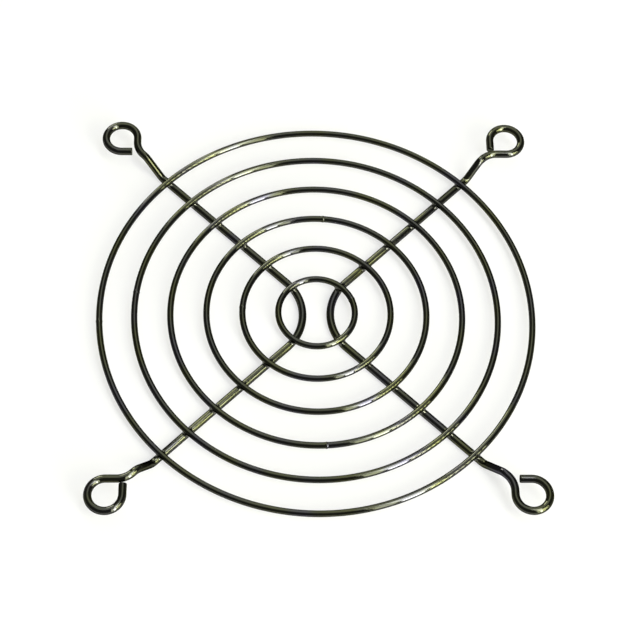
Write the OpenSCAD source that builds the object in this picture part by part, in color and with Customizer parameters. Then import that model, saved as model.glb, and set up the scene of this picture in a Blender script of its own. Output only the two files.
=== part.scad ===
// Round wire fan guard: six butt-welded rings on two bent rib wires, whose ends are four open eyelets.
// The guard lies on its ribs. The rings are on top of them, and the eyelets stand highest.

/* [Fan] */
// Spacing of the fan's mounting holes, both ways
hole_spacing = 82.5; // [71.5:0.5:105]
// Clear hole inside each eyelet
eyelet_bore = 5.1; // [4.4:0.1:6]
// Height of the eyelets' wire centre above the rings' wire centre
eyelet_rise = 2.1; // [1.6:0.1:2.6]
// Clear gap between the outermost ring and each eyelet
rim_gap = 9.2; // [8.2:0.1:12]

/* [Rings] */
// Wire diameter of the rings
ring_wire_d = 1.3; // [1.0:0.1:1.5]
// Diameter of the smallest ring, to the wire's centre
inner_ring_d = 15.7; // [14:0.1:17]
// Step out to the last ring, as a share of the other rings' even steps
last_step = 0.965; // [0.9:0.005:1]
// Angle of each ring's butt weld, from the smallest ring out
seam_angles = [22, 176, 86, -87, 173, -177]; // [-180:1:180]
// How far a butt weld's upset collar stands proud of the wire
seam_proud = 0.05; // [0.03:0.01:0.15]
// Length of the collar along the wire
seam_length = 0.4; // [0.2:0.1:0.8]

/* [Ribs] */
// Wire diameter of the ribs
rib_wire_d = 1.6; // [1.4:0.1:1.8]
// Clear gap between the two ribs' bends at the middle
rib_gap = 4.1; // [3.5:0.1:5]
// Radius of each rib's middle bend, to the wire's centre
middle_bend_r = 10.5; // [9:0.1:12]
// How far beside its eyelet's centre each arm's line passes, on the side of the other rib
aim_offset = 0.3; // [0:0.05:0.5]

/* [Rib ends] */
// Distance from the outermost ring's wire centre to the start of the crank that lifts the eyelet
crank_start = 1.6; // [1.3:0.1:1.8]
// Radius of the crank's two bends, to the wire's centre
crank_bend_r = 2; // [1.6:0.1:2.3]
// Straight wire between the crank and the bend that leads into the eyelet
crank_end = 0.2; // [0.1:0.05:0.3]
// Radius of the bend that leads into the eyelet, to the wire's centre
lead_bend_r = 4.5; // [3:0.1:5]
// Clear gap between an eyelet's cut end and its stem
cut_gap = 0.25; // [0.1:0.05:1]

/* [Welds] */
// How far a ring is pressed into a rib where they cross
weld_set_down = 0.3; // [0.2:0.05:0.45]
// Diameter of the bead squeezed out at each crossing
weld_bead_d = 1.5; // [1.4:0.05:1.6]

/* [Finish] */
// Colour of the plated wire
wire_colour = "#34352e";

/* [Hidden] */
$fn = 32;
round_fn = 128;

// A bend is drawn a hair fuller than the straight wire, so that it takes in the straight's end, which
// reaches a little way into it.
bend_d = rib_wire_d + 0.01;
lap = 0.05;

eyelet_xy = hole_spacing / 2;
eyelet_r = (eyelet_bore + rib_wire_d) / 2;
tail_length = eyelet_r - rib_wire_d / 2 - cut_gap;

// radii of the rings: even steps out from the smallest, and a last one of its own
ring_count = 6;
inner_ring_r = inner_ring_d / 2;
outer_ring_r = norm([eyelet_xy, eyelet_xy]) - eyelet_r - (rib_wire_d + ring_wire_d) / 2 - rim_gap;
ring_step = (outer_ring_r - inner_ring_r) / (ring_count - 2 + last_step);
ring_radii = [
    for (i = [0:ring_count - 1])
        i < ring_count - 1 ? inner_ring_r + i * ring_step : outer_ring_r
];

// heights of the wires' centres, with the ribs on the ground
rib_z = bend_d / 2;
ring_z = rib_z + (rib_wire_d + ring_wire_d) / 2 - weld_set_down;
eyelet_z = ring_z + eyelet_rise;
bead_z = rib_z + (rib_wire_d - weld_set_down) / 2;

// A rib's middle bend turns about a point middle_x from the guard's middle. Each half of it turns until
// it looks past the eyelet by aim_offset.
middle_x = (rib_gap + rib_wire_d) / 2 + middle_bend_r;
to_eyelet = [middle_x - eyelet_xy, eyelet_xy];
middle_turn = atan2(to_eyelet.y, to_eyelet.x) - acos((middle_bend_r - aim_offset) / norm(to_eyelet));

// A rib's arms are alike but for where they start. In the frame that has its eyelet in the first
// quadrant, one arm's straight starts below the diagonal and the other's above it.
arm_across = middle_bend_r * sin(middle_turn);
arm_along = middle_x - middle_bend_r * cos(middle_turn);
low_start = [arm_across, arm_along];
low_heading = middle_turn;
high_start = [arm_along, arm_across];
high_heading = 90 - middle_turn;

// Distance from a point, along a heading, to the circle of radius r about the guard's middle.
function reach(start, heading, r) =
    let (ahead = start * [cos(heading), sin(heading)])
    sqrt(ahead * ahead - start * start + r * r) - ahead;

// Distance from a point, along a heading, to the line that an eyelet's stem lies on.
function stem_reach(start, heading) = (eyelet_xy - eyelet_r - start.y) / sin(heading);

// Points where an arm's straight crosses the rings, in its eyelet's frame.
function arm_crossings(start, heading) = [
    for (r = ring_radii)
        if (r > norm(start))
            start + reach(start, heading, r) * [cos(heading), sin(heading)]
];

// Points where the left rib's middle bend crosses the rings.
function bend_crossings() = [
    for (r = ring_radii, side = [-1, 1])
        if (r < norm(low_start))
            let (x = (middle_x * middle_x + r * r - middle_bend_r * middle_bend_r) / (2 * middle_x))
            [-x, side * sqrt(r * r - x * x)]
];

// Arc of wire about Z, from +X.
module arc_of_wire(angle, r, d) {
    rotate_extrude(angle = angle, $fn = round_fn) translate([r, 0]) circle(d = d);
}

// Straight wire along +X between two bends, with what follows it at its end.
module run(length, past = lap) {
    translate([-lap, 0, 0]) rotate([0, 90, 0]) cylinder(d = rib_wire_d, h = lap + length + past);
    translate([length, 0, 0]) children();
}

// Bend of wire that starts along +X, with what follows it at its end. It bends toward +Y, or with a
// roll about the wire toward another side: 90 is up, -90 is down and 180 is toward -Y.
module bend(angle, r, roll = 0) {
    rotate([roll, 0, 0]) {
        translate([0, r, 0]) rotate([0, 0, -90]) arc_of_wire(angle, r, bend_d);
        translate([r * sin(angle), r * (1 - cos(angle)), 0]) rotate([0, 0, angle])
            rotate([-roll, 0, 0]) children();
    }
}

// Open eyelet: a stem, three quarters of a turn and a straight cut end.
module eyelet(stem_length) {
    run(stem_length) bend(270, eyelet_r) run(tail_length, past = 0);
}

// Crank: a bend up, a slope and a bend back to level, which lift the wire from the ribs' height to the
// eyelets' within a given length. Its slope lies on the common tangent of the bends' two circles.
module crank(length) {
    lift = eyelet_z - rib_z;
    across = norm([length, lift - 2 * crank_bend_r]);
    slope = asin(2 * crank_bend_r / across) + atan2(lift - 2 * crank_bend_r, length);
    bend(slope, crank_bend_r, roll = 90)
        run(sqrt(across * across - 4 * crank_bend_r * crank_bend_r))
        bend(slope, crank_bend_r, roll = -90)
        children();
}

// Arm from the middle bend's end to its eyelet, drawn from its start along +X.
module arm(start, heading) {
    lead = lead_bend_r * tan(heading / 2);
    to_stem = stem_reach(start, heading);
    to_crank = reach(start, heading, outer_ring_r + crank_start);
    stem_start = start.x + to_stem * cos(heading) + lead;
    run(to_crank)
        crank(to_stem - lead - to_crank - crank_end)
        run(crank_end)
        bend(heading, lead_bend_r, roll = 180)
        eyelet(eyelet_xy - stem_start);
}

// Places an arm, or what lies along it, in the frame of the eyelet that is quarter turns round.
module at_quarter(quarter) {
    rotate([0, 0, 90 * quarter]) children();
}

module place_arm(start, heading) {
    translate([start.x, start.y, rib_z]) rotate([0, 0, heading]) arm(start, heading);
}

module weld_beads(points) {
    for (p = points) translate([p.x, p.y, bead_z]) sphere(d = weld_bead_d);
}

// The middle bend, on the left, with its two ends along the arms.
module middle_bend() {
    translate([-middle_x, 0, rib_z]) rotate([0, 0, -middle_turn])
        arc_of_wire(2 * middle_turn, middle_bend_r, bend_d);
}

module ring_wire(index) {
    arc_of_wire(360, ring_radii[index], ring_wire_d);
}

// Butt-welded ring, with the upset collar of its weld.
module ring(index) {
    collar_d = ring_wire_d + 2 * seam_proud;
    color(wire_colour) translate([0, 0, ring_z]) {
        ring_wire(index);
        rotate([0, 0, seam_angles[index]]) translate([ring_radii[index], -seam_length / 2, 0])
            rotate([-90, 0, 0]) cylinder(d = collar_d, h = seam_length);
    }
}

// One rib: its middle bend, its two arms and its weld beads, let in under the rings.
module rib() {
    color(wire_colour) difference() {
        union() {
            middle_bend();
            at_quarter(1) place_arm(low_start, low_heading);
            at_quarter(2) place_arm(high_start, high_heading);
            weld_beads(bend_crossings());
            at_quarter(1) weld_beads(arm_crossings(low_start, low_heading));
            at_quarter(2) weld_beads(arm_crossings(high_start, high_heading));
        }
        for (i = [0:ring_count - 1]) translate([0, 0, ring_z]) ring_wire(i);
    }
}

module left_rib() {
    rib();
}

// The two ribs are alike, turned half round.
module right_rib() {
    rotate([0, 0, 180]) rib();
}

ring(0);  // ring_1
ring(1);  // ring_2
ring(2);  // ring_3
ring(3);  // ring_4
ring(4);  // ring_5
ring(5);  // ring_6
left_rib();
right_rib();
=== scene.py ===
"""Dresses a wire fan guard: welded rings and bent rib wires in bright plating, on a pale floor."""

import math

import bpy
import numpy as np
from mathutils import Matrix, Vector


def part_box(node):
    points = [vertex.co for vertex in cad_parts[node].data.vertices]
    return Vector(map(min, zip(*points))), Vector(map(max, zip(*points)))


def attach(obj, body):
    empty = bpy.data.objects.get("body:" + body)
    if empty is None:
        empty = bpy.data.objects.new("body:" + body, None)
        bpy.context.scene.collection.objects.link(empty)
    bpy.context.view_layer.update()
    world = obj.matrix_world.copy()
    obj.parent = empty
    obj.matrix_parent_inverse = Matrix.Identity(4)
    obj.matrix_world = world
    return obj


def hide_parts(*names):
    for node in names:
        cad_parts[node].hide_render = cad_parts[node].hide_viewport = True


bl_info = {
    "name": "Wire fan guard",
    "version": (1, 0, 0),
    "blender": (4, 5, 0),
    "location": "View3D > Sidebar > Fan guard",
    "description": "Plated wires, welds and studio stage for a wire fan guard",
    "category": "Add Mesh",
}

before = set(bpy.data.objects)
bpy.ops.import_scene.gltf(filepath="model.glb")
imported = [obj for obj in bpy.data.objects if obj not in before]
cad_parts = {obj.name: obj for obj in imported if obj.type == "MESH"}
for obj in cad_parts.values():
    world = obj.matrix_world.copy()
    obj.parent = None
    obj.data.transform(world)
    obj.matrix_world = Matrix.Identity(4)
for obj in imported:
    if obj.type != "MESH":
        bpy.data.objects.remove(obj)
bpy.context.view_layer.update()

RING_NODES = ["ring_1", "ring_2", "ring_3", "ring_4", "ring_5", "ring_6"]
RIB_NODES = ["left_rib", "right_rib"]
RIB_TURNS = [0.0, math.pi]
BODY = "root"
UP = Vector((0, 0, 1))
MM = 0.001

# How far a butt weld's collar takes to fall off to the wire.
COLLAR_SOFT = 0.05 * MM
# Cross-sections close beside each butt weld, and how many lengths of its collar they reach.
COLLAR_SECTIONS = 24
COLLAR_REACH = 3
# Cross-sections round the edge of a cut end.
CUT_SECTIONS = 6
# Steps along each ray that looks for a weld's surface, and how far that surface is drawn in.
RAY_STEPS = 90
WELD_SINK = 0.006 * MM
# Spacing in mm of the lines that drawing leaves on the rings' wire and on the ribs'.
RING_LINES = 0.15
RIB_LINES = 0.18
# Shifts in mm along the plating's patterns, so that no two wires look alike. A ring is shifted by its
# radius as a share of the outermost, and a rib also by each radian that it is turned.
RING_SHIFT = 400
RIB_SHIFT = 1000
RIB_SHIFT_BY_TURN = 200
# Width of the lumps in the weld flash.
LUMP = 0.25 * MM
# How far the roughness of the plating drifts each way.
ROUGHNESS_DRIFT = 0.02
# Half the side of the studio floor, and the lamps' distance from the guard, in metres.
FLOOR_HALF = 4.0
LAMP_DISTANCE = 1.3


class RingSettings(bpy.types.PropertyGroup):
    """Sizes of the rings."""

    wire_d: bpy.props.FloatProperty(
        name="Ring wire", description="Diameter of the rings' wire", default=1.3 * MM, unit="LENGTH"
    )
    first_r: bpy.props.FloatProperty(
        name="Smallest ring", description="Radius of the smallest ring, to the wire's centre",
        default=7.85 * MM, unit="LENGTH",
    )
    last_step: bpy.props.FloatProperty(
        name="Last step", description="Step out to the last ring, as a share of the other steps",
        default=0.965,
    )
    seams: bpy.props.FloatVectorProperty(
        name="Seams", description="Angle of each ring's butt weld, from the smallest ring out", size=6,
        default=[math.radians(a) for a in (22, 176, 86, -87, 173, -177)], subtype="NONE",
    )
    seam_proud: bpy.props.FloatProperty(
        name="Seam height", description="How far a butt weld's collar stands proud of the wire",
        default=0.05 * MM, unit="LENGTH",
    )
    seam_length: bpy.props.FloatProperty(
        name="Seam length", description="Length of a butt weld's collar along the wire",
        default=0.4 * MM, unit="LENGTH",
    )
    sides: bpy.props.IntProperty(name="Sides", description="Faces round each ring's wire", default=40)
    step: bpy.props.FloatProperty(
        name="Step", description="Distance between cross-sections along a ring", default=0.36 * MM,
        unit="LENGTH",
    )


class RibSettings(bpy.types.PropertyGroup):
    """Sizes of the two rib wires and of their eyelets."""

    wire_d: bpy.props.FloatProperty(
        name="Rib wire", description="Diameter of the ribs' wire", default=1.6 * MM, unit="LENGTH"
    )
    hole_spacing: bpy.props.FloatProperty(
        name="Hole spacing", description="Spacing of the fan's mounting holes, both ways",
        default=82.5 * MM, unit="LENGTH",
    )
    eyelet_bore: bpy.props.FloatProperty(
        name="Eyelet bore", description="Clear hole inside each eyelet", default=5.1 * MM,
        unit="LENGTH",
    )
    eyelet_rise: bpy.props.FloatProperty(
        name="Eyelet rise", description="Height of the eyelets' wire above the rings' wire",
        default=2.1 * MM, unit="LENGTH",
    )
    rim_gap: bpy.props.FloatProperty(
        name="Rim gap", description="Clear gap between the outermost ring and each eyelet",
        default=9.2 * MM, unit="LENGTH",
    )
    rib_gap: bpy.props.FloatProperty(
        name="Rib gap", description="Clear gap between the two ribs at the middle",
        default=4.1 * MM, unit="LENGTH",
    )
    middle_bend_r: bpy.props.FloatProperty(
        name="Middle bend", description="Radius of each rib's middle bend, to the wire's centre",
        default=10.5 * MM, unit="LENGTH",
    )
    aim_offset: bpy.props.FloatProperty(
        name="Aim offset", description="How far beside its eyelet's centre each arm's line passes",
        default=0.3 * MM, unit="LENGTH",
    )
    crank_start: bpy.props.FloatProperty(
        name="Crank start", description="Distance from the outermost ring to the start of the crank",
        default=1.6 * MM, unit="LENGTH",
    )
    crank_bend_r: bpy.props.FloatProperty(
        name="Crank bends", description="Radius of the crank's two bends", default=2.0 * MM,
        unit="LENGTH",
    )
    crank_end: bpy.props.FloatProperty(
        name="Crank end", description="Straight wire after the crank", default=0.2 * MM,
        unit="LENGTH",
    )
    lead_bend_r: bpy.props.FloatProperty(
        name="Lead-in bend", description="Radius of the bend that leads into the eyelet",
        default=4.5 * MM, unit="LENGTH",
    )
    cut_gap: bpy.props.FloatProperty(
        name="Cut gap", description="Clear gap between an eyelet's cut end and its stem",
        default=0.25 * MM, unit="LENGTH",
    )
    cut_round: bpy.props.FloatProperty(
        name="Cut edge", description="Rounding that the plating leaves on a cut end's edge",
        default=0.12 * MM, unit="LENGTH",
    )
    sides: bpy.props.IntProperty(name="Sides", description="Faces round each rib's wire", default=48)
    step: bpy.props.FloatProperty(
        name="Step", description="Distance between cross-sections along a rib", default=0.2 * MM,
        unit="LENGTH",
    )


class WeldSettings(bpy.types.PropertyGroup):
    """Sizes of the welds between rings and ribs."""

    set_down: bpy.props.FloatProperty(
        name="Weld set-down", description="How far a ring is pressed into a rib at their weld",
        default=0.3 * MM, unit="LENGTH",
    )
    fillet: bpy.props.FloatProperty(
        name="Fillet", description="Width of the blend of squeezed-out metal between the two wires",
        default=0.6 * MM, unit="LENGTH",
    )
    uneven: bpy.props.FloatProperty(
        name="Unevenness", description="Share by which the fillets differ from weld to weld",
        default=0.25, subtype="FACTOR",
    )
    reach: bpy.props.FloatProperty(
        name="Reach", description="Greatest distance of a weld's surface from its middle",
        default=1.3 * MM, unit="LENGTH",
    )
    detail: bpy.props.IntProperty(
        name="Detail", description="Faces from pole to pole of each weld", default=32
    )
    seed: bpy.props.IntProperty(
        name="Seed", description="Start of the random draws that vary the fillets", default=6
    )


class FinishSettings(bpy.types.PropertyGroup):
    """Colours of the plating."""

    plating: bpy.props.StringProperty(
        name="Plating", description="Colour of the bright plating, sRGB hex", default="#52534a"
    )
    olive: bpy.props.StringProperty(
        name="Olive cast", description="Warm tint that drifts along the wires, sRGB hex",
        default="#565742",
    )
    lilac: bpy.props.StringProperty(
        name="Lilac cast", description="Cool tint that drifts along the wires, sRGB hex",
        default="#515056",
    )
    # Also the colour of the painted shade in the weld's hollows.
    stain_and_weld_shade: bpy.props.StringProperty(
        name="Stain", description="Colour of the specks where the plating is thin, sRGB hex",
        default="#26251f",
    )
    # Lighter than the wires' plating, so that the weld's lumps show brighter glints: a painted glint.
    weld: bpy.props.StringProperty(
        name="Weld", description="Colour of the plated weld metal, sRGB hex", default="#6c6c64"
    )
    glancing: bpy.props.StringProperty(
        name="Glancing tint", description="Tint of the mirror near the wires' edges, sRGB hex",
        default="#303030",
    )
    roughness: bpy.props.FloatProperty(
        name="Roughness", description="Roughness of the plating", default=0.11, subtype="FACTOR"
    )


class StageSettings(bpy.types.PropertyGroup):
    """Floor, light and camera."""

    floor: bpy.props.StringProperty(
        name="Floor", description="Colour of the studio floor, sRGB hex", default="#f2f2f4"
    )
    floor_glow: bpy.props.FloatProperty(
        name="Floor white", description="Share of plain white that the floor shows", default=0.66,
        subtype="FACTOR",
    )
    world: bpy.props.StringProperty(
        name="World colour", description="Colour of the light from all round, sRGB hex",
        default="#f3f4ea",
    )
    world_level: bpy.props.FloatProperty(
        name="World level", description="Level of the light from all round", default=0.12
    )
    lens: bpy.props.FloatProperty(name="Lens", description="Focal length in mm", default=97.78)
    azimuth: bpy.props.FloatProperty(
        name="Azimuth", description="Camera's direction from the guard, in plan",
        default=math.radians(-94.39), subtype="ANGLE",
    )
    elevation: bpy.props.FloatProperty(
        name="Elevation", description="Camera's height above the horizon, as an angle",
        default=math.radians(61.30), subtype="ANGLE",
    )
    roll: bpy.props.FloatProperty(
        name="Roll", description="Camera's turn about its own line of sight",
        default=math.radians(4.075), subtype="ANGLE",
    )
    distance: bpy.props.FloatProperty(
        name="Distance", description="Camera's distance from its aim", default=0.35541, unit="LENGTH"
    )
    aim: bpy.props.FloatVectorProperty(
        name="Aim", description="Point that the camera looks at", size=3,
        default=(0.00067, -0.00181, 0.00201), subtype="TRANSLATION",
    )


# ---------------------------------------------------------------- wire centrelines


def arc(centre, r, from_angle, to_angle, step):
    """Circle arc in plan: the centre plus r times the cosine and sine of evenly stepped angles."""
    count = max(4, math.ceil(abs(to_angle - from_angle) * r / step) + 1)
    angle = np.linspace(from_angle, to_angle, count)
    return np.column_stack([centre[0] + r * np.cos(angle), centre[1] + r * np.sin(angle)])


def straight(start, end, step):
    """Evenly stepped points on the line from start to end: the start plus a share of the difference."""
    start, end = np.asarray(start, float), np.asarray(end, float)
    count = max(2, math.ceil(np.linalg.norm(end - start) / step) + 1)
    return start + (end - start) * np.linspace(0, 1, count)[:, None]


def turned(points, angle):
    """Points turned about the guard's axis, by the usual cosines and sines of the angle."""
    c, s = math.cos(angle), math.sin(angle)
    out = np.array(points, float)
    out[..., 0] = c * points[..., 0] - s * points[..., 1]
    out[..., 1] = s * points[..., 0] + c * points[..., 1]
    return out


def joined(stretches):
    """Stretches end to end, each without the point that it shares with the one before."""
    return np.concatenate([stretches[0]] + [s[1:] for s in stretches[1:]])


def lengths_along(points):
    """Distance along a line of points: the running sum of the distances between neighbours."""
    gaps = np.linalg.norm(np.diff(points, axis=0), axis=1)
    return np.concatenate([[0.0], np.cumsum(gaps)])


def crank_height(along, length, lift, bend_r):
    """Height gained over the distance along a crank: a bend up, its common tangent and a bend down.

    The first bend's height is r minus the root of r squared less x squared, and the second mirrors it.
    The slope between is asin(2 r / d) plus atan((lift - 2 r) / length), with d the distance between
    the bends' centres.
    """
    across = math.hypot(length, lift - 2 * bend_r)
    slope = math.asin(2 * bend_r / across) + math.atan2(lift - 2 * bend_r, length)
    edge = bend_r * math.sin(slope)
    x = np.clip(along, 0, length)
    back = length - x
    rise = bend_r - np.sqrt(bend_r**2 - np.minimum(x, edge) ** 2)
    fall = bend_r - np.sqrt(bend_r**2 - np.minimum(back, edge) ** 2)
    line = (x - edge) * math.tan(slope) + bend_r * (1 - math.cos(slope))
    return np.where(x < edge, rise, np.where(back < edge, lift - fall, line))


class Guard:
    """Derived sizes of the guard, all from the settings and the frame, with the ribs on the ground."""

    def __init__(self, scene):
        rings, ribs, welds = scene.guard_rings, scene.guard_ribs, scene.guard_welds
        self.ribs, self.welds = ribs, welds
        self.ring_wire_r, self.rib_wire_r = rings.wire_d / 2, ribs.wire_d / 2
        low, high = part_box("ring_6")
        self.ring_z = (low[2] + high[2]) / 2
        self.rib_z = self.ring_z - self.rib_wire_r - self.ring_wire_r + welds.set_down
        self.eyelet_xy = ribs.hole_spacing / 2
        self.eyelet_r = (ribs.eyelet_bore + ribs.wire_d) / 2
        clear = self.eyelet_r + self.rib_wire_r + self.ring_wire_r + ribs.rim_gap
        self.outer_r = self.eyelet_xy * math.sqrt(2) - clear
        step = (self.outer_r - rings.first_r) / (len(RING_NODES) - 2 + rings.last_step)
        self.radii = [rings.first_r + i * step for i in range(len(RING_NODES) - 1)] + [self.outer_r]
        self.middle_x = (ribs.rib_gap + ribs.wire_d) / 2 + ribs.middle_bend_r
        away = (self.middle_x - self.eyelet_xy, self.eyelet_xy)
        self.half_turn = math.atan2(away[1], away[0]) - math.acos(
            (ribs.middle_bend_r - ribs.aim_offset) / math.hypot(*away)
        )
        self.bend_centre = np.array([-self.middle_x, 0.0])

    def arm_starts(self):
        """Where the left rib's arms leave its middle bend: start, heading and quarter turn of each."""
        across = self.ribs.middle_bend_r * math.sin(self.half_turn)
        along = self.middle_x - self.ribs.middle_bend_r * math.cos(self.half_turn)
        return [
            (np.array([across, along]), self.half_turn, math.pi / 2),
            (np.array([along, across]), math.pi / 2 - self.half_turn, math.pi),
        ]

    def reach(self, start, heading, r):
        """Distance from a point, along a heading, to the circle of radius r about the guard's axis."""
        ahead = start[0] * math.cos(heading) + start[1] * math.sin(heading)
        return math.sqrt(ahead * ahead - start @ start + r * r) - ahead

    def arm(self, start, heading):
        """Centreline of an arm from the middle bend to its cut end, in its eyelet's own quadrant."""
        ribs, hole, r = self.ribs, np.full(2, self.eyelet_xy), self.eyelet_r
        ahead = np.array([math.cos(heading), math.sin(heading)])
        to_stem = (hole[1] - r - start[1]) / math.sin(heading)
        lead = ribs.lead_bend_r * math.tan(heading / 2)
        bend_from = start + (to_stem - lead) * ahead
        bend_centre = bend_from + ribs.lead_bend_r * np.array([ahead[1], -ahead[0]])
        tail = r - self.rib_wire_r - ribs.cut_gap - ribs.cut_round
        left, below = hole - np.array([r, 0]), hole - np.array([0, r])
        plan = joined([
            straight(start, bend_from, ribs.step),
            arc(bend_centre, ribs.lead_bend_r, heading + math.pi / 2, math.pi / 2, ribs.step),
            straight(bend_centre + np.array([0, ribs.lead_bend_r]), below, ribs.step),
            arc(hole, r, -math.pi / 2, math.pi, ribs.step),
            straight(left, left - np.array([0, tail]), ribs.step),
        ])
        crank_from = self.reach(start, heading, self.outer_r + ribs.crank_start)
        crank_length = to_stem - lead - crank_from - ribs.crank_end
        lift = self.ring_z + ribs.eyelet_rise - self.rib_z
        gained = crank_height(lengths_along(plan) - crank_from, crank_length, lift, ribs.crank_bend_r)
        return np.column_stack([plan, self.rib_z + gained])

    def left_rib(self):
        """Centreline of the left rib: upper arm inwards, middle bend, and lower arm outwards."""
        (low, low_heading, low_turn), (high, high_heading, high_turn) = self.arm_starts()
        upper = turned(self.arm(low, low_heading), low_turn)[::-1]
        lower = turned(self.arm(high, high_heading), high_turn)
        bend = arc(self.bend_centre, self.ribs.middle_bend_r, self.half_turn, -self.half_turn,
                   self.ribs.step)
        return joined([upper, np.column_stack([bend, np.full(len(bend), self.rib_z)]), lower])

    def left_crossings(self):
        """Where the left rib meets the rings: ring radius, place in plan and, on an arm, heading."""
        found = []
        for start, heading, quarter in self.arm_starts():
            ahead = np.array([math.cos(heading), math.sin(heading)])
            for r in self.radii:
                if r > np.linalg.norm(start):
                    at = start + self.reach(start, heading, r) * ahead
                    found.append((r, turned(at, quarter), heading + quarter))
                else:
                    x = (self.middle_x**2 + r * r - self.ribs.middle_bend_r**2) / (2 * self.middle_x)
                    side = 1 if quarter < 2 else -1
                    found.append((r, np.array([-x, side * math.sqrt(r * r - x * x)]), None))
        return found


# ---------------------------------------------------------------- surfaces


def carried(centre, radius, sides, closed):
    """Round wire: each section is the centreline point plus radius (cos a side + sin a up).

    The side is level and square to the wire's direction, and up is square to both, so the sections
    don't twist. Each corner also gets its place on the wire laid out straight, in mm: radius cos a,
    radius sin a, distance along. An open wire ends in a fan about the middle of its last section.
    """
    ahead = (np.roll(centre, -1, 0) - np.roll(centre, 1, 0)) if closed else np.gradient(centre, axis=0)
    ahead /= np.linalg.norm(ahead, axis=1)[:, None]
    side = np.cross(ahead, np.array(UP))
    side /= np.linalg.norm(side, axis=1)[:, None]
    up = np.cross(side, ahead)
    angle = np.linspace(0, 2 * math.pi, sides, endpoint=False) - math.pi / 2
    spoke = side[:, None] * np.cos(angle)[None, :, None] + up[:, None] * np.sin(angle)[None, :, None]
    corners = (centre[:, None] + spoke * radius[:, None, None]).reshape(-1, 3)

    along = lengths_along(np.vstack([centre, centre[:1]]) if closed else centre)
    laid = np.stack([
        radius[:, None] * np.cos(angle)[None],
        radius[:, None] * np.sin(angle)[None],
        np.broadcast_to(along[: len(centre), None], (len(centre), sides)),
    ], axis=-1).reshape(-1, 3) / MM

    count = len(centre) if closed else len(centre) - 1
    i, j = np.meshgrid(np.arange(count), np.arange(sides), indexing="ij")
    here, there = i * sides, ((i + 1) % len(centre)) * sides
    right = (j + 1) % sides
    quads = np.stack([here + j, there + j, there + right, here + right], axis=-1).reshape(-1, 4)
    turn = 2 * math.pi * radius.mean() / MM / sides
    u = np.stack([j, j, j + 1, j + 1], axis=-1) * turn
    v = np.stack([along[i], along[i + 1], along[i + 1], along[i]], axis=-1) / MM
    uv = np.stack([u, v], axis=-1).reshape(-1, 2)
    if closed:
        return corners, quads, None, laid, uv

    first, last = len(corners), len(corners) + 1
    corners = np.vstack([corners, centre[:1], centre[-1:]])
    laid = np.vstack([laid, [[0, 0, along[0] / MM]], [[0, 0, along[-1] / MM]]])
    j = np.arange(sides)
    end = (len(centre) - 1) * sides
    fan = np.concatenate([
        np.stack([np.full(sides, first), j, (j + 1) % sides], axis=-1),
        np.stack([np.full(sides, last), end + (j + 1) % sides, end + j], axis=-1),
    ])
    uv = np.vstack([uv, laid[fan.ravel()][:, :2]])
    return corners, quads, fan, laid, uv


def torus_distance(points, centre, r, z, wire_r):
    """Distance to a round wire bent in a circle: how far off the circle, less the wire's radius."""
    off = np.linalg.norm(points[..., :2] - centre, axis=-1) - r
    return np.hypot(off, points[..., 2] - z) - wire_r


def straight_distance(points, at, heading, z, wire_r):
    """Distance to a straight level wire: how far off its line, less the wire's radius."""
    x, y = points[..., 0] - at[0], points[..., 1] - at[1]
    across = x * -math.sin(heading) + y * math.cos(heading)
    return np.hypot(across, points[..., 2] - z) - wire_r


def weld_surface(guard, ring_r, at, heading, fillet, phase):
    """Blend between a ring and a rib, as seen from the middle of their weld.

    The two wires' distances a and b are blended as min(a, b) less h squared f / 4, where f is the
    fillet's width and h is (f - |a - b|) / f, never below nought. Each corner is where a ray from the
    weld's middle first leaves that blend, drawn in by a few microns so that it sinks into the wires
    where the fillet ends. The fillet's width swells and shrinks by up to a fifth round the weld, by a
    sine of three waves and a smaller one of seven.
    """
    rows = guard.welds.detail
    polar = np.linspace(0, math.pi, rows + 1)[1:-1]
    round_ = np.linspace(0, 2 * math.pi, rows * 5 // 4, endpoint=False)
    p, q = np.meshgrid(polar, round_, indexing="ij")
    ray = np.stack([np.sin(p) * np.cos(q), np.sin(p) * np.sin(q), np.cos(p)], axis=-1).reshape(-1, 3)
    ray = np.vstack([ray, [0, 0, 1], [0, 0, -1]])
    middle = np.array([at[0], at[1], guard.rib_z + guard.rib_wire_r - guard.welds.set_down / 2])
    far = np.linspace(0, guard.welds.reach, RAY_STEPS)
    points = middle + ray[:, None] * far[None, :, None]
    a = torus_distance(points, np.zeros(2), ring_r, guard.ring_z, guard.ring_wire_r)
    if heading is None:
        b = torus_distance(points, guard.bend_centre, guard.ribs.middle_bend_r, guard.rib_z,
                           guard.rib_wire_r)
    else:
        b = straight_distance(points, at, heading, guard.rib_z, guard.rib_wire_r)
    about = np.arctan2(ray[:, 1], ray[:, 0])
    width = fillet * (1 + 0.12 * np.sin(3 * about + phase) + 0.08 * np.sin(7 * about + 2 * phase))
    h = np.maximum(1 - np.abs(a - b) / width[:, None], 0)
    blend = np.minimum(a, b) - h * h * width[:, None] / 4 + WELD_SINK
    out = blend > 0
    k = np.where(out.any(axis=1), out.argmax(axis=1), len(far) - 1)
    row = np.arange(len(ray))
    before, after = blend[row, k - 1], blend[row, k]
    share = np.where(out.any(axis=1), before / np.minimum(before - after, -1e-12), 1.0)
    length = far[k - 1] + share * (far[k] - far[k - 1])
    corners = middle + ray * length[:, None]

    columns = len(round_)
    i, j = np.meshgrid(np.arange(len(polar) - 1), np.arange(columns), indexing="ij")
    right = (j + 1) % columns
    quads = np.stack([i * columns + j, (i + 1) * columns + j, (i + 1) * columns + right,
                      i * columns + right], axis=-1).reshape(-1, 4)
    j = np.arange(columns)
    last = (len(polar) - 1) * columns
    top, bottom = len(ray) - 2, len(ray) - 1
    fan = np.concatenate([
        np.stack([np.full(columns, top), j, (j + 1) % columns], axis=-1),
        np.stack([np.full(columns, bottom), last + (j + 1) % columns, last + j], axis=-1),
    ])
    return corners, quads, fan


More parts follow.
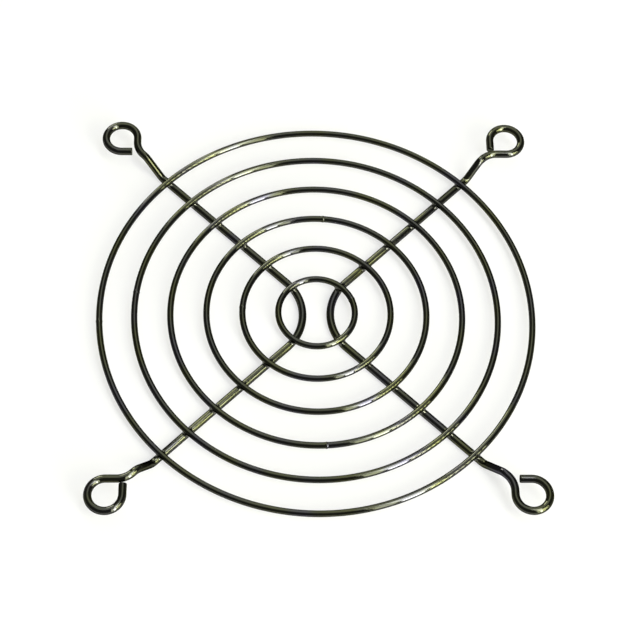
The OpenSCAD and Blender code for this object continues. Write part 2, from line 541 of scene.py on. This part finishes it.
def new_piece(name, corners, quads, fan=None, laid=None, uv=None):
    """Mesh object with smooth faces, with its places on the straightened wire where it has them."""
    mesh = bpy.data.meshes.new(name)
    faces = quads.tolist() + ([] if fan is None else fan.tolist())
    mesh.from_pydata(corners.tolist(), [], faces)
    mesh.polygons.foreach_set("use_smooth", np.ones(len(faces), dtype=bool))
    if uv is not None:
        layer = mesh.uv_layers.new(name="wire_mm")
        layer.uv.foreach_set("vector", uv.astype(np.float32).ravel())
    if laid is not None:
        layer = mesh.attributes.new("laid_straight", "FLOAT_VECTOR", "POINT")
        layer.data.foreach_set("vector", laid.astype(np.float32).ravel())
    mesh.update()
    piece = bpy.data.objects.new(name, mesh)
    bpy.context.scene.collection.objects.link(piece)
    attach(piece, BODY)
    return piece


# ---------------------------------------------------------------- materials


def linear(hex_colour):
    """An sRGB hex colour as linear red, green, blue and alpha."""
    values = [int(hex_colour[i:i + 2], 16) / 255 for i in (1, 3, 5)]
    return [v / 12.92 if v <= 0.04045 else ((v + 0.055) / 1.055) ** 2.4 for v in values] + [1.0]


def add(tree, kind, settings=None, links=None):
    """Adds a node: settings are its properties or its inputs' values, links are its inputs' sources."""
    node = tree.nodes.new(kind)
    for key, value in (settings or {}).items():
        if isinstance(key, str) and hasattr(node, key):
            setattr(node, key, value)
        else:
            node.inputs[key].default_value = value
    for key, source in (links or {}).items():
        tree.links.new(source, node.inputs[key])
    return node


def plated_wire(finish, name, spacing):
    """Bright nickel and chrome plating on drawn steel wire.

    Drawing leaves fine lines along the wire, and thin plating keeps them: highlights are sharp along
    the wire and smeared across it, and the mirror is faintly uneven. Real die lines are about 0.02 mm
    apart. They are drawn as far apart as spacing says, in mm, so that they show. The plating's
    thickness drifts, which tints it olive or lilac over about 11 mm. It is uneven over about 1 mm, and
    a few specks 0.4 mm across show where it is thin. The patterns lie on the wire laid out straight.
    """
    material = bpy.data.materials.new(name)
    material.use_nodes = True
    tree = material.node_tree
    shader = tree.nodes["Principled BSDF"]
    shader.inputs["Metallic"].default_value = 1.0
    shader.inputs["Anisotropic"].default_value = 1.0
    shader.inputs["Specular Tint"].default_value = linear(finish.glancing)
    laid = add(tree, "ShaderNodeAttribute", {"attribute_name": "laid_straight"}).outputs["Vector"]
    around = add(tree, "ShaderNodeTangent", {"direction_type": "UV_MAP", "uv_map": "wire_mm"})
    tree.links.new(around.outputs["Tangent"], shader.inputs["Tangent"])

    squeezed = add(tree, "ShaderNodeMapping", {"Scale": (1, 1, 0.01)}, {"Vector": laid})
    lines = add(tree, "ShaderNodeTexNoise", {"Scale": 1 / spacing, "Detail": 3.0, "Roughness": 0.6},
                {"Vector": squeezed.outputs["Vector"]}).outputs["Fac"]
    peel = add(tree, "ShaderNodeTexNoise", {"Scale": 0.9, "Detail": 2.0, "Roughness": 0.5},
               {"Vector": laid}).outputs["Fac"]
    cast = add(tree, "ShaderNodeTexNoise", {"Scale": 0.09, "Detail": 2.0, "Roughness": 0.55},
               {"Vector": laid}).outputs["Fac"]
    specks = add(tree, "ShaderNodeTexNoise", {"Scale": 2.6, "Detail": 2.0, "Roughness": 0.7},
                 {"Vector": laid}).outputs["Fac"]

    warm = add(tree, "ShaderNodeMapRange", {"From Min": 0.5, "From Max": 0.62}, {"Value": cast})
    cool = add(tree, "ShaderNodeMapRange", {"From Min": 0.5, "From Max": 0.38}, {"Value": cast})
    shade = add(tree, "ShaderNodeMapRange", {"From Min": 0.3, "From Max": 0.65, "To Min": 0.72},
                {"Value": lines})
    thin = add(tree, "ShaderNodeMapRange", {"From Min": 0.70, "From Max": 0.76}, {"Value": specks})
    colour = add(tree, "ShaderNodeMix", {"data_type": "RGBA", 6: linear(finish.plating),
                                         7: linear(finish.olive)}, {0: warm.outputs["Result"]})
    colour = add(tree, "ShaderNodeMix", {"data_type": "RGBA", 7: linear(finish.lilac)},
                 {0: cool.outputs["Result"], 6: colour.outputs[2]})
    colour = add(tree, "ShaderNodeMix", {"data_type": "RGBA", "blend_type": "MULTIPLY", 0: 1.0},
                 {6: colour.outputs[2], 7: shade.outputs["Result"]})
    colour = add(tree, "ShaderNodeMix", {"data_type": "RGBA", 7: linear(finish.stain_and_weld_shade)},
                 {0: thin.outputs["Result"], 6: colour.outputs[2]})
    tree.links.new(colour.outputs[2], shader.inputs["Base Color"])

    low, high = finish.roughness - ROUGHNESS_DRIFT, finish.roughness + ROUGHNESS_DRIFT
    smooth = add(tree, "ShaderNodeMapRange", {"From Min": 0.35, "From Max": 0.7, "To Min": low,
                                              "To Max": high}, {"Value": lines})
    tree.links.new(smooth.outputs["Result"], shader.inputs["Roughness"])
    fine = add(tree, "ShaderNodeBump", {"Strength": 0.3, "Distance": 0.006 * MM}, {"Height": lines})
    broad = add(tree, "ShaderNodeBump", {"Strength": 0.2, "Distance": 0.015 * MM},
                {"Height": peel, "Normal": fine.outputs["Normal"]})
    tree.links.new(broad.outputs["Normal"], shader.inputs["Normal"])
    return material


def plated_weld(finish):
    """Bright plating over resistance-weld flash.

    The squeezed-out metal froze in small lumps, and the plating follows them: a mirror with fine
    crinkles, 0.25 mm across, rougher in the hollows. Its colour paints glints and shade: the lumps
    take a colour lighter than the wires' plating, as painted glints, and the hollows take the dark
    stain colour, as painted shade.
    """
    material = bpy.data.materials.new("nickel_chrome_on_weld_flash_with_painted_glints")
    material.use_nodes = True
    tree = material.node_tree
    shader = tree.nodes["Principled BSDF"]
    shader.inputs["Metallic"].default_value = 1.0
    place = add(tree, "ShaderNodeTexCoord").outputs["Object"]
    lumps = add(tree, "ShaderNodeTexNoise", {"Scale": 1 / LUMP, "Detail": 2.0, "Roughness": 0.5},
                {"Vector": place}).outputs["Fac"]
    # Painted glints and painted shade: the lumps take the light weld colour, the hollows the dark stain
    # colour.
    painted_glint_and_shade = add(tree, "ShaderNodeMapRange", {"From Min": 0.3, "From Max": 0.6}, {"Value": lumps})
    colour = add(tree, "ShaderNodeMix", {"data_type": "RGBA", 6: linear(finish.stain_and_weld_shade),
                                         7: linear(finish.weld)}, {0: painted_glint_and_shade.outputs["Result"]})
    tree.links.new(colour.outputs[2], shader.inputs["Base Color"])
    dull = add(tree, "ShaderNodeMapRange", {"From Min": 0.3, "From Max": 0.7, "To Min": 0.28,
                                            "To Max": 0.1}, {"Value": lumps})
    tree.links.new(dull.outputs["Result"], shader.inputs["Roughness"])
    bump = add(tree, "ShaderNodeBump", {"Strength": 0.5, "Distance": 0.03 * MM}, {"Height": lumps})
    tree.links.new(bump.outputs["Normal"], shader.inputs["Normal"])
    return material


def studio_paper(stage):
    """Matt white background paper: it shows plain white, and dims where the guard shades it."""
    material = bpy.data.materials.new("matt_background_paper")
    material.use_nodes = True
    tree = material.node_tree
    shader = tree.nodes["Principled BSDF"]
    shader.inputs["Base Color"].default_value = linear(stage.floor)
    shader.inputs["Roughness"].default_value = 0.9
    shader.inputs["Specular IOR Level"].default_value = 0.1
    white = add(tree, "ShaderNodeEmission", {"Color": (1, 1, 1, 1), "Strength": 1.0})
    path = add(tree, "ShaderNodeLightPath")
    seen = add(tree, "ShaderNodeMath", {"operation": "MAXIMUM"},
               {0: path.outputs["Is Camera Ray"], 1: path.outputs["Is Glossy Ray"]})
    seen = add(tree, "ShaderNodeMath", {"operation": "MAXIMUM"},
               {0: seen.outputs[0], 1: path.outputs["Is Transmission Ray"]})
    share = add(tree, "ShaderNodeMath", {"operation": "MULTIPLY", 1: stage.floor_glow},
                {0: seen.outputs[0]})
    both = add(tree, "ShaderNodeMixShader", links={
        "Fac": share.outputs[0], 1: shader.outputs["BSDF"], 2: white.outputs["Emission"]})
    tree.links.new(both.outputs["Shader"], tree.nodes["Material Output"].inputs["Surface"])
    return material


# ---------------------------------------------------------------- lamps


# Each lamp's name, azimuth and elevation of its middle, lean, width and height in degrees as seen from
# the guard, level against white paper, and colour. A lamp leans so that its reflection on the rings
# ends straight across the wire.
LAMPS = [
    ("window_lower_pane", -51.0, 22, -5.5, 8.8, 43, 20.0, "#fdfeff"),
    ("window_upper_pane", -30.7, 66, -32.4, 10.5, 44, 8.0, "#fdfeff"),
    ("window_reveal", -60.9, 33, -6.6, 8.6, 62, 5.2, "#f3f6e0"),
    ("rear_lamp", 111, 27, 10.0, 14, 16, 10.0, "#f6f7dc"),
    ("rear_wall", 84, 47, 0, 36, 88, 1.2, "#eef1e4"),
]
# A blind beside the window: azimuth, lean, height and level of the first slat, and their steps from
# slat to slat. The blind narrows and dims away from the window.
SLATS = 10
SLAT_AZIMUTH = (-41.3, 2.74)
SLAT_LEAN = (-10.1, -0.57)
SLAT_HEIGHT = (54, -4.0)
SLAT_LEVEL = (23.0, -1.2)
SLAT_ELEVATION = 32
SLAT_WIDTH = 1.1
SLAT_COLOUR = "#f1f3c8"


def towards(azimuth, elevation):
    """Unit vector at an azimuth and an elevation, both in radians."""
    level = math.cos(elevation)
    return Vector((level * math.cos(azimuth), level * math.sin(azimuth), math.sin(elevation)))


def upright(facing):
    """Turn that points Z along facing and keeps X level."""
    across = UP.cross(facing).normalized()
    return Matrix((across, facing.cross(across), facing)).transposed()


def add_lamp(name, azimuth, elevation, lean, width, height, level, colour):
    """Rectangular lamp that faces the guard, and that the camera doesn't see."""
    data = bpy.data.lights.new(name, "AREA")
    data.shape = "RECTANGLE"
    data.size = 2 * LAMP_DISTANCE * math.tan(math.radians(width) / 2)
    data.size_y = 2 * LAMP_DISTANCE * math.tan(math.radians(height) / 2)
    data.energy = level * math.pi * data.size * data.size_y
    data.color = linear(colour)[:3]
    lamp = bpy.data.objects.new(name, data)
    facing = towards(math.radians(azimuth), math.radians(elevation))
    turn = upright(facing) @ Matrix.Rotation(math.radians(lean), 3, "Z")
    lamp.matrix_world = Matrix.Translation(facing * LAMP_DISTANCE) @ turn.to_4x4()
    lamp.visible_camera = False
    bpy.context.scene.collection.objects.link(lamp)


# ---------------------------------------------------------------- operators


class GUARD_OT_rings(bpy.types.Operator):
    """Adds the six butt-welded rings."""

    bl_idname = "guard.rings"
    bl_label = "Rings"

    def execute(self, context):
        scene = context.scene
        guard, rings = Guard(scene), scene.guard_rings
        material = plated_wire(scene.guard_finish, "nickel_chrome_on_drawn_ring_wire", RING_LINES)
        for node, r, seam in zip(RING_NODES, guard.radii, rings.seams):
            round_ = 2 * math.pi * r
            near = np.linspace(0, COLLAR_REACH * rings.seam_length, COLLAR_SECTIONS)
            even = np.linspace(0, round_, math.ceil(round_ / rings.step), endpoint=False)
            along = np.unique(np.concatenate([near, even, round_ - near[1:]]))
            angle = seam + along / r
            centre = np.column_stack([r * np.cos(angle), r * np.sin(angle),
                                      np.full(len(angle), guard.ring_z)])
            off = np.minimum(along, round_ - along)
            # The collar stands proud within half its length of the seam, and falls off smoothly.
            collar = 0.5 * (1 - np.tanh((off - rings.seam_length / 2) / COLLAR_SOFT))
            radius = guard.ring_wire_r + rings.seam_proud * collar
            corners, quads, fan, laid, uv = carried(centre, radius, rings.sides, True)
            laid = laid + [0, 0, RING_SHIFT * r / guard.outer_r]
            piece = new_piece(node + "_wire", corners, quads, fan, laid, uv)
            piece.data.materials.append(material)
            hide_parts(node)
        return {"FINISHED"}


class GUARD_OT_ribs(bpy.types.Operator):
    """Adds the two rib wires, with their cranks and open eyelets."""

    bl_idname = "guard.ribs"
    bl_label = "Ribs"

    def execute(self, context):
        scene = context.scene
        guard, ribs = Guard(scene), scene.guard_ribs
        material = plated_wire(scene.guard_finish, "nickel_chrome_on_drawn_rib_wire", RIB_LINES)
        centre = guard.left_rib()
        # Past each end of the centreline the wire narrows by a quarter circle, to round the cut's edge.
        bend = np.linspace(0, math.pi / 2, CUT_SECTIONS)[1:]
        out = [centre[0] - centre[1], centre[-1] - centre[-2]]
        out = [a / np.linalg.norm(a) for a in out]
        first = centre[0] + out[0] * ribs.cut_round * np.sin(bend)[::-1, None]
        last = centre[-1] + out[1] * ribs.cut_round * np.sin(bend)[:, None]
        tip = guard.rib_wire_r - ribs.cut_round * (1 - np.cos(bend))
        radius = np.concatenate([tip[::-1], np.full(len(centre), guard.rib_wire_r), tip])
        centre = np.vstack([first, centre, last])
        for node, turn in zip(RIB_NODES, RIB_TURNS):
            corners, quads, fan, laid, uv = carried(turned(centre, turn), radius, ribs.sides, False)
            laid = laid + [0, 0, RIB_SHIFT + RIB_SHIFT_BY_TURN * turn]
            piece = new_piece(node + "_wire", corners, quads, fan, laid, uv)
            piece.data.materials.append(material)
            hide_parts(node)
        return {"FINISHED"}


class GUARD_OT_welds(bpy.types.Operator):
    """Adds the weld fillets at the crossings of rings and ribs."""

    bl_idname = "guard.welds"
    bl_label = "Welds"

    def execute(self, context):
        scene = context.scene
        guard, welds = Guard(scene), scene.guard_welds
        material = plated_weld(scene.guard_finish)
        chance = np.random.default_rng(welds.seed)
        for node, turn in zip(RIB_NODES, RIB_TURNS):
            corners, quads, fans, count = [], [], [], 0
            for ring_r, at, heading in guard.left_crossings():
                fillet = welds.fillet * (1 + welds.uneven * chance.uniform(-1, 1))
                c, q, f = weld_surface(guard, ring_r, at, heading, fillet, chance.uniform(0, 6))
                corners.append(turned(c, turn))
                quads.append(q + count)
                fans.append(f + count)
                count += len(c)
            piece = new_piece(node + "_welds", np.vstack(corners), np.vstack(quads), np.vstack(fans))
            piece.data.materials.append(material)
        return {"FINISHED"}


class GUARD_OT_stage(bpy.types.Operator):
    """Adds the floor, the lamps, the world and the camera."""

    bl_idname = "guard.stage"
    bl_label = "Stage"

    def execute(self, context):
        scene = context.scene
        stage = scene.guard_stage
        corners = [(x * FLOOR_HALF, y * FLOOR_HALF, 0) for x, y in ((-1, -1), (1, -1), (1, 1), (-1, 1))]
        mesh = bpy.data.meshes.new("studio_floor")
        mesh.from_pydata(corners, [], [(0, 1, 2, 3)])
        mesh.materials.append(studio_paper(stage))
        floor = bpy.data.objects.new("studio_floor", mesh)
        scene.collection.objects.link(floor)

        for lamp in LAMPS:
            add_lamp(*lamp)
        for i in range(SLATS):
            azimuth, lean, height, level = (
                first + i * step for first, step in (SLAT_AZIMUTH, SLAT_LEAN, SLAT_HEIGHT, SLAT_LEVEL)
            )
            add_lamp(f"blind_slat_{i + 1}", azimuth, SLAT_ELEVATION, lean, SLAT_WIDTH, height, level,
                     SLAT_COLOUR)

        world = bpy.data.worlds.new("studio_surround")
        world.use_nodes = True
        surround = world.node_tree.nodes["Background"]
        surround.inputs["Color"].default_value = linear(stage.world)
        surround.inputs["Strength"].default_value = stage.world_level
        scene.world = world

        data = bpy.data.cameras.new("camera")
        data.sensor_width = 36.0
        data.lens = stage.lens
        camera = bpy.data.objects.new("camera", data)
        facing = towards(stage.azimuth, stage.elevation)
        place = Matrix.Translation(Vector(stage.aim) + facing * stage.distance)
        camera.matrix_world = place @ (upright(facing) @ Matrix.Rotation(stage.roll, 3, "Z")).to_4x4()
        scene.collection.objects.link(camera)
        scene.camera = camera
        scene.view_settings.view_transform = "Standard"
        return {"FINISHED"}


class GUARD_PT_panel(bpy.types.Panel):
    """Lists the steps that build the dressed guard."""

    bl_label = "Fan guard"
    bl_idname = "GUARD_PT_panel"
    bl_space_type = "VIEW_3D"
    bl_region_type = "UI"
    bl_category = "Fan guard"

    def draw(self, context):
        for step in STEPS:
            self.layout.operator(step.bl_idname)


STEPS = (GUARD_OT_rings, GUARD_OT_ribs, GUARD_OT_welds, GUARD_OT_stage)
SETTINGS = {
    "guard_rings": RingSettings,
    "guard_ribs": RibSettings,
    "guard_welds": WeldSettings,
    "guard_finish": FinishSettings,
    "guard_stage": StageSettings,
}


def register():
    for cls in (*SETTINGS.values(), *STEPS, GUARD_PT_panel):
        bpy.utils.register_class(cls)
    for name, group in SETTINGS.items():
        setattr(bpy.types.Scene, name, bpy.props.PointerProperty(type=group))


def unregister():
    for name in SETTINGS:
        delattr(bpy.types.Scene, name)
    for cls in (GUARD_PT_panel, *reversed(STEPS), *reversed(SETTINGS.values())):
        bpy.utils.unregister_class(cls)


def main():
    register()
    bpy.ops.guard.rings()
    bpy.ops.guard.ribs()
    bpy.ops.guard.welds()
    bpy.ops.guard.stage()


if __name__ == "__main__":
    main()
